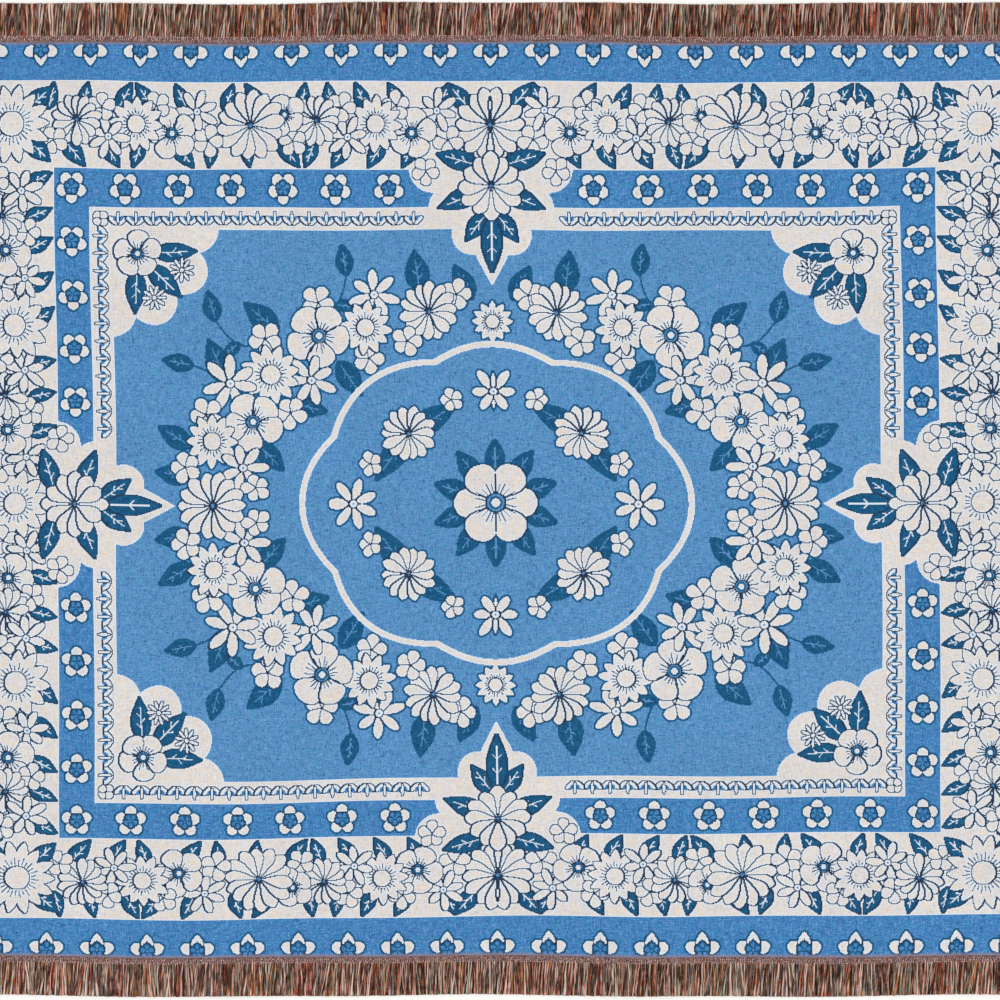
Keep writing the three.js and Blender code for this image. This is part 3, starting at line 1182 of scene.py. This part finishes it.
def yarn_tree(material):
    """A layer of cut yarns that lie side by side, lean, bend and cross, and end in a straight cut."""
    sizes = ("Layer Height", "Yarn Length", "Yarn Width", "Yarn Thickness", "Lean", "Bend")
    tree, wiring, given = sized_tree("cut_yarns", sizes)
    row = strand_row(wiring, given)
    yarn = unit_strand(wiring, (0, 0, 0), (0, 1, 0), 9, 4)
    yarn = stored(wiring, yarn, "beside", position_x(wiring))
    width = wiring.times(given["Yarn Width"], chance(wiring, 0.75, 1.3, 3))
    length = wiring.times(given["Yarn Length"], chance(wiring, 0.972, 1.0, 4))
    scale = wiring.joined(width, length, given["Yarn Thickness"])
    yarns = placed_strands(wiring, row, yarn, (0, 0, 0), scale)

    strand = named(wiring, "strand", "INT")
    along = named(wiring, "along")
    beside = named(wiring, "beside")
    seed = given["Seed"]
    lean = cubed(wiring, chance(wiring, -1.35, 1.35, wiring.plus(seed, 1), strand))
    shared_place = wiring.joined(wiring.times(position_x(wiring), SHARED_LEAN_SCALE), seed)
    shared = wiring.noise(shared_place, 1.0)
    lean = wiring.times_plus(wiring.minus(shared, SHARED_LEAN_MIDDLE), SHARED_LEAN, lean)
    lean = wiring.times(wiring.times(lean, given["Lean"]), along)
    own_place = wiring.joined(wiring.times(strand, 7.3), wiring.times(along, 1.5))
    bend = wiring.minus(wiring.noise(own_place, 1.0, 1.0), 0.5)
    bend = wiring.times(wiring.times(bend, given["Bend"]), wiring.ranged(along, 0, 0.3))
    tip = wiring.ranged(along, 0.6, 1.0, 0.0, 0.6)
    flare = wiring.times(wiring.times(beside, given["Yarn Width"]), tip)
    aside = wiring.plus(wiring.plus(lean, bend), flare)
    rise = wiring.minus(given["Layer Height"], given["Row Height"])
    rise = wiring.times(rise, wiring.ranged(along, 0, 0.1))
    finished_tree(wiring, moved(wiring, yarns, aside, rise), given, material)
    return tree


def stitch_tree(material):
    """A row of short stitches, each at a slant."""
    sizes = ("Stitch Length", "Stitch Width", "Slant")
    tree, wiring, given = sized_tree("stitch_row", sizes)
    row = strand_row(wiring, given)
    factor = wiring.made("GeometryNodeSplineParameter")
    across = wiring.times_plus(factor, 2.0, -1.0)
    taper = wiring.math("SQRT", wiring.minus(1.05, wiring.times(across, across)))
    stitch = unit_strand(wiring, (-0.5, 0, 0), (0.5, 0, 0), 5, 5, taper)
    slant = wiring.plus(given["Slant"], chance(wiring, -0.2, 0.2, 5))
    rotation = wiring.joined(0.0, 0.0, slant)
    length = wiring.times(given["Stitch Length"], chance(wiring, 0.8, 1.15, 6))
    width = wiring.times(given["Stitch Width"], chance(wiring, 0.8, 1.2, 7))
    scale = wiring.joined(length, width, given["Stitch Width"])
    stitches = placed_strands(wiring, row, stitch, rotation, scale)
    finished_tree(wiring, stitches, given, material)
    return tree


def made_mesh(tree, sizes):
    """The plain mesh that a tree makes with those sizes."""
    holder = bpy.data.objects.new("holder", bpy.data.meshes.new("holder"))
    bpy.context.scene.collection.objects.link(holder)
    modifier = holder.modifiers.new("strands", "NODES")
    modifier.node_group = tree
    for item in tree.interface.items_tree:
        if item.in_out == "INPUT" and item.name in sizes:
            modifier[item.identifier] = sizes[item.name]
    depsgraph = bpy.context.evaluated_depsgraph_get()
    mesh = bpy.data.meshes.new_from_object(
        holder.evaluated_get(depsgraph), preserve_all_data_layers=True, depsgraph=depsgraph
    )
    bpy.data.objects.remove(holder)
    return mesh


def row_sizes(strands, width, place, height, depth, seed):
    """The sizes that every row of strands needs, from millimetres."""
    return {
        "Strands": strands,
        "Row Width": width * MM,
        "Row Place": place * MM,
        "Row Height": height * MM,
        "Depth": depth,
        "Seed": seed,
    }


def stitch_mesh(tree, row, length, width, slant):
    """A row of stitches, from millimetres."""
    stitch = {"Stitch Length": length * MM, "Stitch Width": width * MM, "Slant": slant}
    return made_mesh(tree, {**row, **stitch})


def lay_mesh(mesh, quarter_turns):
    """Turns a drawn mesh to its edge of the blanket, and lays it as the cloth lies."""
    points = np.empty(len(mesh.vertices) * 3, np.float32)
    mesh.vertices.foreach_get("co", points)
    points = points.reshape(-1, 3) / MM
    x, y = points[:, 0], points[:, 1]
    for _ in range(quarter_turns):
        x, y = -y, x
    points = laid_place(x, y, points[:, 2]) + SHIFT
    mesh.vertices.foreach_set("co", points.astype(np.float32).reshape(-1))
    mesh.update()


def joined_piece(name, meshes):
    """One piece of several meshes."""
    pieces = [piece_of(f"{name}_{index}", mesh) for index, mesh in enumerate(meshes)]
    with bpy.context.temp_override(active_object=pieces[0], selected_editable_objects=pieces):
        bpy.ops.object.join()
    pieces[0].name = name
    return pieces[0]


# The heading and the fringe

# Muted colours of the warp, as the screen shows them, each with its share of the yarns.
WARP_COLOURS = (
    (0.00, tint(250, 222, 206)),
    (0.18, tint(230, 160, 146)),
    (0.32, tint(190, 72, 52)),
    (0.41, tint(206, 128, 66)),
    (0.50, tint(156, 162, 132)),
    (0.58, tint(220, 222, 206)),
    (0.66, tint(112, 120, 132)),
    (0.72, tint(158, 110, 82)),
    (0.82, tint(100, 32, 26)),
    (0.91, tint(30, 8, 6)),
)
GROUP_TINTS = (
    (0.00, tint(110, 26, 22)),
    (0.36, tint(200, 140, 124)),
    (0.43, tint(196, 104, 40)),
    (0.49, tint(146, 156, 134)),
    (0.55, tint(160, 52, 40)),
    (0.61, tint(146, 116, 56)),
    (0.67, tint(150, 140, 150)),
)
HEADING_COLOURS = (
    (0.00, tint(240, 204, 200)),
    (0.34, tint(226, 172, 168)),
    (0.56, tint(236, 214, 206)),
    (0.76, tint(190, 124, 118)),
    (0.90, tint(176, 156, 158)),
)
HEM_COLOURS = (
    (0.00, tint(92, 140, 188)),
    (0.60, tint(74, 122, 172)),
)
# The darkest colour: painted shade for the lower layers of yarn. The dark patches along each yarn mix
# towards it too.
DEEP_SHADE = tint(34, 6, 3)
# A pale cream that patches along each yarn mix towards.
PALE_PATCH = tint(244, 216, 200)


def colour_steps(wiring, value, colours):
    """The colour whose share of the range from 0 to 1 holds the value."""
    ramp = wiring.add("ShaderNodeValToRGB", {0: value})
    ramp.color_ramp.interpolation = "CONSTANT"
    stops = ramp.color_ramp.elements
    stops[0].position, stops[0].color = colours[0]
    stops[1].position, stops[1].color = colours[1]
    for position, colour in colours[2:]:
        stops.new(position).color = colour
    return ramp.outputs[0]


def warp_material(name, colours, grouping):
    """Yarns of many colours, with painted shade that darkens the lower layers, and the twist of their ply.

    grouping is how much neighbouring yarns share a tint.
    """
    material, wiring, shader = fabric_material(name, 0.9, 0.03)
    shade = wiring.attribute("shade")
    depth = wiring.attribute("depth")
    along = wiring.attribute("along")
    colour = colour_steps(wiring, shade, colours)
    place = wiring.add("ShaderNodeTexCoord").outputs["Object"]
    group = wiring.noise(place, 75.0, 1.0, "3D")
    colour = wiring.mix(grouping, colour, colour_steps(wiring, group, GROUP_TINTS))
    # Patches along each yarn: some darker, towards the darkest colour, and some paler.
    own_place = wiring.joined(wiring.times(shade, 900.0), wiring.times(along, 1.8))
    patch = wiring.noise(own_place, 1.0, 1.0)
    colour = wiring.mix(wiring.ranged(patch, 0.45, 0.7, 0.0, 0.85), colour, DEEP_SHADE)
    colour = wiring.mix(wiring.ranged(patch, 0.45, 0.25, 0.0, 0.5), colour, PALE_PATCH)
    # Painted shade: each layer darkens by its depth, the lowest most, as if in the shade of the yarns over
    # it.
    colour = wiring.mix(wiring.times(depth, 0.9), colour, DEEP_SHADE)
    twist = wiring.noise(wiring.joined(wiring.times(shade, 90.0), wiring.times(along, 60.0)), 1.0)
    dress(wiring, shader, colour, twist, 0.6, 0.3 * MM)
    return material


def heading_material():
    """The dark woven ground under the heading's stitches."""
    material, wiring, shader = fabric_material("heading_ground", 0.9, 0.1)
    place = wiring.add("ShaderNodeTexCoord").outputs["Object"]
    grain = wiring.noise(place, 520.0, 2.0, "3D")
    colour = wiring.mix(wiring.ranged(grain, 0.35, 0.65), tint(70, 48, 48), tint(128, 96, 92))
    dress(wiring, shader, colour, grain, 0.6, 0.4 * MM)
    return material


HEADING_START = HALF_DEPTH + PIECE_GAP
FRINGE_START = HEADING_START + HEADING_DEPTH
HEADING_SECTION = (
    # out from the cloth's edge, height
    (0, 0),
    (HEADING_DEPTH, 0),
    (HEADING_DEPTH, 1.3),
    (HEADING_DEPTH - 0.8, HEADING_THICKNESS - 0.4),
    (0.8, HEADING_THICKNESS - 0.4),
    (0, 1.5),
)
HEADING_STATIONS = 240


def heading_mesh():
    """The heading's ground: a low strip, closed at both ends, along the far edge."""
    section = np.array(HEADING_SECTION)
    sides = len(section)
    points = []
    for x in np.linspace(-HALF_WIDTH, HALF_WIDTH, HEADING_STATIONS):
        points += [(x, HEADING_START + out, height) for out, height in section]
    faces = [tuple(range(sides)), tuple(reversed(range(len(points) - sides, len(points))))]
    for station in range(HEADING_STATIONS - 1):
        first = station * sides
        for side in range(sides):
            after = (side + 1) % sides
            faces.append((first + side, first + sides + side, first + sides + after, first + after))
    mesh = bpy.data.meshes.new("heading")
    mesh.from_pydata((np.array(points) * MM).tolist(), [], faces)
    mesh.flip_normals()
    return mesh


YARN_OVERLAP = 1.5  # millimetres of each yarn that run under the heading
YARN_ROOT, YARN_ROOT_STEP = 0.6, 0.2  # height at the heading of the lowest layer, and of each next one
YARNS_ACROSS, STITCHES_ACROSS = 2 * (HALF_WIDTH - 2), 2 * (HALF_WIDTH - 1)  # how far their rows reach
YARN_LAYERS = (
    # yarns, width, thickness and height of the layer in millimetres, lean, bend, depth: how far painted
    # shade darkens the layer
    (560, 3.1, 1.1, 0.6, 0.6, 2.0, 0.97),
    (540, 1.6, 1.1, 1.2, 1.1, 3.0, 0.62),
    (480, 1.5, 1.1, 1.9, 1.4, 4.0, 0.2),
    (430, 1.6, 1.1, 2.5, 1.5, 4.0, 0.0),
)


def fringe_meshes(tree, seed):
    """The layers of one fringe, the lowest first."""
    meshes = []
    for layer, (strands, width, thickness, height, lean, bend, depth) in enumerate(YARN_LAYERS):
        root = YARN_ROOT + YARN_ROOT_STEP * layer
        row = row_sizes(strands, YARNS_ACROSS, FRINGE_START - YARN_OVERLAP, root, depth, seed + 10 * layer)
        meshes.append(made_mesh(tree, {
            **row,
            "Layer Height": height * MM,
            "Yarn Length": (FRINGE_LENGTH + YARN_OVERLAP) * MM,
            "Yarn Width": width * MM,
            "Yarn Thickness": thickness * MM,
            "Lean": lean * MM,
            "Bend": bend * MM,
        }))
    return meshes


STITCH_ROWS = (
    # stitches, out from the heading's start, length, width, slant, depth
    (820, 1.0, 2.2, 1.2, 1.5, 0.3),
    (560, 3.3, 2.7, 1.3, 1.1, 0.0),
    (560, 5.7, 2.5, 1.3, 1.1, 0.0),
    (560, 7.9, 2.5, 1.3, 1.1, 0.0),
)


def stitch_meshes(tree, seed):
    """The rows of stitches on one heading."""
    meshes = []
    height = HEADING_THICKNESS - 0.3
    for index, (strands, out, *stitch, depth) in enumerate(STITCH_ROWS):
        row = row_sizes(strands, STITCHES_ACROSS, HEADING_START + out, height, depth, seed + index)
        meshes.append(stitch_mesh(tree, row, *stitch))
    return meshes


HEM_STITCH_PITCH = 4.5
HEM_STITCH = 3.2, 0.9, 0.0  # length, width, slant


def hem_meshes(tree):
    """A line of stitches down each turned side hem."""
    meshes = []
    length = 2 * HALF_DEPTH
    count = round(length / HEM_STITCH_PITCH)
    for quarter_turns in (1, 3):
        row = row_sizes(count, length, HEM_LINE_X, CLOTH_THICKNESS + HEM_RISE, 0.0, quarter_turns)
        mesh = stitch_mesh(tree, row, *HEM_STITCH)
        lay_mesh(mesh, quarter_turns)
        meshes.append(mesh)
    return meshes


def edge_pieces(side, quarter_turns, seed, trees, ground):
    """The heading with its stitches, and the fringe, of one long edge."""
    yarns, stitches = trees
    strip = heading_mesh()
    strip.materials.append(ground)
    heading = [strip, *stitch_meshes(stitches, seed)]
    fringe = fringe_meshes(yarns, seed)
    for mesh in heading + fringe:
        lay_mesh(mesh, quarter_turns)
    stitched = joined_piece(f"heading_{side}_stitched", heading)
    return stitched, joined_piece(f"fringe_{side}_yarns", fringe)


# The stage

VIEW_WIDTH = 1.405  # of the floor in the camera's view, in metres
CAMERA_LENS = 100
CAMERA_SENSOR = 36
VIEW_MIDDLE = (0.0018, -0.0007)  # where the camera looks, from the blanket's own middle
FLOOR_HALF = 40.0  # metres, so that it fills the view from every side
FLOOR_HEIGHT = -0.0006  # just under the cloth


def floor_piece():
    mesh = bpy.data.meshes.new("floor")
    corners = ((-1, -1), (1, -1), (1, 1), (-1, 1))
    points = [(x * FLOOR_HALF, y * FLOOR_HALF, FLOOR_HEIGHT) for x, y in corners]
    mesh.from_pydata(points, [], [(0, 1, 2, 3)])
    material = bpy.data.materials.new("pale_floor")
    material.use_nodes = True
    shader = material.node_tree.nodes["Principled BSDF"]
    shader.inputs["Base Color"].default_value = tint(255, 254, 250)
    shader.inputs["Roughness"].default_value = 0.9
    shader.inputs["Specular IOR Level"].default_value = 0.0
    return piece_of("floor", mesh, material)


def add_camera():
    data = bpy.data.cameras.new("camera")
    data.lens = CAMERA_LENS
    data.sensor_width = CAMERA_SENSOR
    camera = bpy.data.objects.new("camera", data)
    camera.location = (*VIEW_MIDDLE, VIEW_WIDTH * CAMERA_LENS / CAMERA_SENSOR)
    bpy.context.scene.collection.objects.link(camera)
    bpy.context.scene.camera = camera


SKY_STRENGTH = 0.6
SUN_STRENGTH = 1.56
SUN_TILT = (math.radians(32), 0, math.radians(72))
SUN_WIDTH = math.radians(40)


def add_lights():
    world = bpy.data.worlds.new("studio")
    world.use_nodes = True
    sky = world.node_tree.nodes["Background"]
    sky.inputs["Strength"].default_value = SKY_STRENGTH
    sky.inputs["Color"].default_value = (1, 1, 1, 1)
    bpy.context.scene.world = world
    sun = bpy.data.lights.new("soft_light", "SUN")
    sun.energy = SUN_STRENGTH
    sun.angle = SUN_WIDTH
    lamp = bpy.data.objects.new("soft_light", sun)
    lamp.rotation_euler = SUN_TILT
    bpy.context.scene.collection.objects.link(lamp)


# What each of the chart's yarns shows as, on the face and on the back.
FACE_YARNS = ("blue", "ivory", "leaf", "line")
BACK_YARNS = ("ivory", "blue", "ivory", "blue")

add_camera()
add_lights()
bpy.context.scene.view_settings.view_transform = "Standard"

face = weave_material("jacquard_face", FACE_YARNS)
back = weave_material("jacquard_back", BACK_YARNS)
cloth = piece_of("woven_cloth", cloth_mesh(), face, back)

warp_yarn = warp_material("cut_warp_yarn", WARP_COLOURS, 0.4)
stitch_yarn = warp_material("heading_yarn", HEADING_COLOURS, 0.1)
hem_yarn = warp_material("hem_yarn", HEM_COLOURS, 0.0)
trees = yarn_tree(warp_yarn), stitch_tree(stitch_yarn)
ground = heading_material()
heading_far, fringe_far = edge_pieces("far", 0, 100, trees, ground)
heading_near, fringe_near = edge_pieces("near", 2, 200, trees, ground)
hems = joined_piece("hem_stitches", hem_meshes(stitch_tree(hem_yarn)))

pieces = {
    cloth: ("woven_cloth", "cloth"),
    heading_far: ("fringe_yarn", "fringe_far"),
    fringe_far: ("fringe_yarn", "fringe_far"),
    heading_near: ("fringe_yarn", "fringe_near"),
    fringe_near: ("fringe_yarn", "fringe_near"),
    hems: ("woven_cloth", "cloth"),
}
for piece, (slot, node) in pieces.items():
    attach(piece, "root")
    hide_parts(node)
floor_piece()
